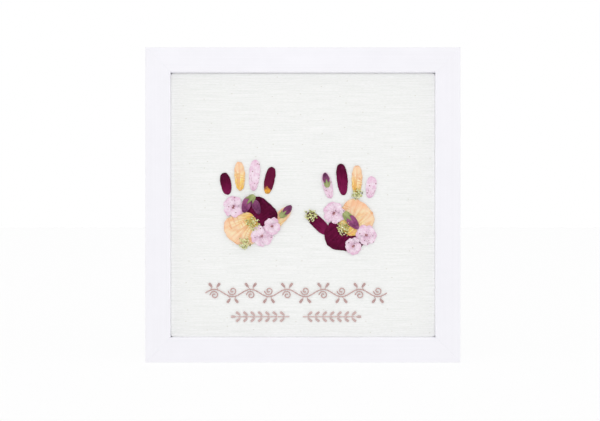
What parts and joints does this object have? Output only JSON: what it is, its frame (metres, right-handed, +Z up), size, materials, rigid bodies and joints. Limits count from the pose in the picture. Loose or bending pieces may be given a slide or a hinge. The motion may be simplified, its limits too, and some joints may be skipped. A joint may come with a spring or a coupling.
{
  "type": "baby handprint frame",
  "caption": "Square white open-fronted frame round a linen panel with baby handprints in pressed petals and stitched ornament, with turn buttons and hanging rings behind.",
  "frame": {"origin": "middle of the bottom rail's underside, at half the moulding's depth", "axes": "+X to the right as seen from the front, +Y from the front to the back, +Z up"},
  "size_m": [0.231, 0.0236, 0.231],
  "materials": {
    "white_paint": "satin white paint over wood",
    "linen": "off-white slub linen",
    "mount_board": "white paper-faced foam board",
    "filler_board": "white paper-faced foam board",
    "hardboard": "smooth brown hardboard",
    "zinc_steel": "bright zinc plate",
    "screw_steel": "bright zinc plate",
    "rubber": "dark grey rubber",
    "thread": "dusty rose stranded cotton",
    "plum_petal": "dry pressed petal",
    "peach_petal": "dry pressed petal",
    "pink_petal": "dry pressed petal",
    "violet_bud": "dry pressed bud",
    "calyx_green": "dry pressed leaf",
    "umbel_green": "dry pressed flower head"
  },
  "bodies": {
    "frame": {"bottom_rail": "white_paint", "left_rail": "white_paint", "top_rail": "white_paint", "right_rail": "white_paint", "corner_nails": "zinc_steel", "linen_cover": "linen", "mount_board": "mount_board", "filler_board": "filler_board", "backing_board": "hardboard", "turn_button_screws": "screw_steel", "hanger_strap_left": "zinc_steel", "hanger_strap_right": "zinc_steel", "hanger_screws": "screw_steel", "wall_bumpers": "rubber", "left_little_petal": "plum_petal", "left_ring_petal": "peach_petal", "left_middle_petal": "pink_petal", "left_index_petal": "plum_petal", "left_thumb_petal": "peach_petal", "right_little_petal": "pink_petal", "right_ring_petal": "peach_petal", "right_middle_petal": "plum_petal", "right_index_petal": "pink_petal", "right_thumb_petal": "plum_petal", "left_palm_plum_petal": "plum_petal", "left_palm_peach_petal": "peach_petal", "left_pink_florets": "pink_petal", "left_violet_buds": "violet_bud", "left_bud_calyxes": "calyx_green", "left_umbel_sprigs": "umbel_green", "right_palm_plum_petal": "plum_petal", "right_palm_peach_petal": "peach_petal", "right_pink_florets": "pink_petal", "right_violet_buds": "violet_bud", "right_bud_calyxes": "calyx_green", "right_umbel_sprigs": "umbel_green", "stitched_vine": "thread", "stitched_sprays": "thread"},
    "turn_button_bottom": {"turn_button_bottom": "zinc_steel"},
    "turn_button_left": {"turn_button_left": "zinc_steel"},
    "turn_button_top": {"turn_button_top": "zinc_steel"},
    "turn_button_right": {"turn_button_right": "zinc_steel"},
    "hanger_ring_left": {"hanger_ring_left": "zinc_steel"},
    "hanger_ring_right": {"hanger_ring_right": "zinc_steel"}
  },
  "joints": [
    {"name": "bottom_button_turn", "type": "hinge", "parent": "frame", "child": "turn_button_bottom", "pos_m": [0, 0.0098, 0.0065], "axis": [0, 1, 0], "range_deg": [-90, 90]},
    {"name": "left_button_turn", "type": "hinge", "parent": "frame", "child": "turn_button_left", "pos_m": [-0.109, 0.0098, 0.1155], "axis": [0, 1, 0], "range_deg": [-90, 90]},
    {"name": "top_button_turn", "type": "hinge", "parent": "frame", "child": "turn_button_top", "pos_m": [0, 0.0098, 0.2245], "axis": [0, 1, 0], "range_deg": [-90, 90]},
    {"name": "right_button_turn", "type": "hinge", "parent": "frame", "child": "turn_button_right", "pos_m": [0.109, 0.0098, 0.1155], "axis": [0, 1, 0], "range_deg": [-90, 90]},
    {"name": "left_ring_swing", "type": "hinge", "parent": "frame", "child": "hanger_ring_left", "pos_m": [-0.109, 0.01146, 0.169], "axis": [1, 0, 0], "range_deg": [0, 175]},
    {"name": "right_ring_swing", "type": "hinge", "parent": "frame", "child": "hanger_ring_right", "pos_m": [0.109, 0.01146, 0.169], "axis": [1, 0, 0], "range_deg": [0, 175]}
  ]
}
